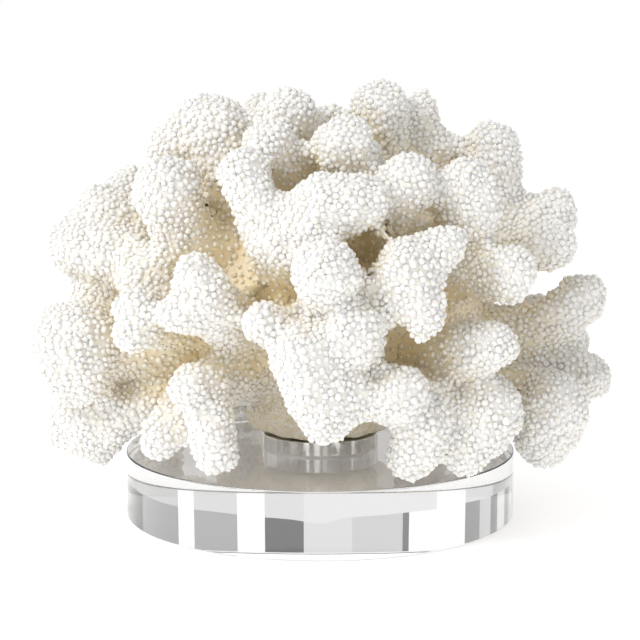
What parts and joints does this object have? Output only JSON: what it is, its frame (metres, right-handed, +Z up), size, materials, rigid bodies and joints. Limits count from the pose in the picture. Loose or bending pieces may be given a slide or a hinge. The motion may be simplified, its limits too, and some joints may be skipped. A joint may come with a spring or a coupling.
{
  "type": "coral specimen on stand",
  "caption": "White knobbly branching coral on a sandy foot, set on a short polished metal spacer in the middle of a thick round clear disc that stands flat.",
  "frame": {"origin": "middle of the clear disc's flat underside, on the surface it stands on", "axes": "+Z up along the disc's axis, +X to the viewer's right along the coral's greatest width, -Y towards the viewer"},
  "size_m": [0.2181, 0.1884, 0.1666],
  "materials": {
    "clear_acrylic": "clear cast acrylic, flame-polished edge",
    "polished_metal": "mirror polished nickel plate",
    "sandy_skeleton": "matte, fine sandy grain, cream where it runs up between the branches",
    "white_skeleton": "matte chalky white with dense rounded granules"
  },
  "bodies": {
    "root": {"acrylic_disc": "clear_acrylic", "metal_spacer": "polished_metal", "coral_foot": "sandy_skeleton", "front_low_fork": "white_skeleton", "front_middle": "white_skeleton", "front_knob": "white_skeleton", "front_low_right": "white_skeleton", "front_right_drop": "white_skeleton", "front_left_stub": "white_skeleton", "left_low_fork": "white_skeleton", "left_low_knob": "white_skeleton", "left_ridge": "white_skeleton", "left_stub": "white_skeleton", "right_low_fork": "white_skeleton", "right_middle_stub": "white_skeleton", "front_right_fork": "white_skeleton", "middle_fork": "white_skeleton", "upper_right_knob": "white_skeleton", "upper_right_wedge": "white_skeleton", "right_stub": "white_skeleton", "upper_left": "white_skeleton", "upper_middle": "white_skeleton", "upper_middle_left": "white_skeleton", "far_left_lower": "white_skeleton", "far_left_middle": "white_skeleton", "far_left_upper": "white_skeleton", "far_right_lower": "white_skeleton", "far_right_middle": "white_skeleton", "far_right_finger": "white_skeleton", "far_right_upper": "white_skeleton", "tall_finger": "white_skeleton", "top": "white_skeleton", "top_left": "white_skeleton", "top_knob": "white_skeleton", "top_right_finger": "white_skeleton", "back_low_far_left": "white_skeleton", "back_low_left": "white_skeleton", "back_low_middle": "white_skeleton", "back_low_right": "white_skeleton", "back_low_far_right": "white_skeleton", "back_far_left": "white_skeleton", "back_left": "white_skeleton", "back_middle_left": "white_skeleton", "back_middle": "white_skeleton", "back_middle_right": "white_skeleton", "back_right": "white_skeleton", "back_far_right": "white_skeleton", "back_upper_far_left": "white_skeleton", "back_upper_left": "white_skeleton", "back_upper_middle": "white_skeleton", "back_upper_right": "white_skeleton", "back_upper_far_right": "white_skeleton", "back_top_left": "white_skeleton", "back_top": "white_skeleton", "back_top_right": "white_skeleton"}
  },
  "joints": []
}
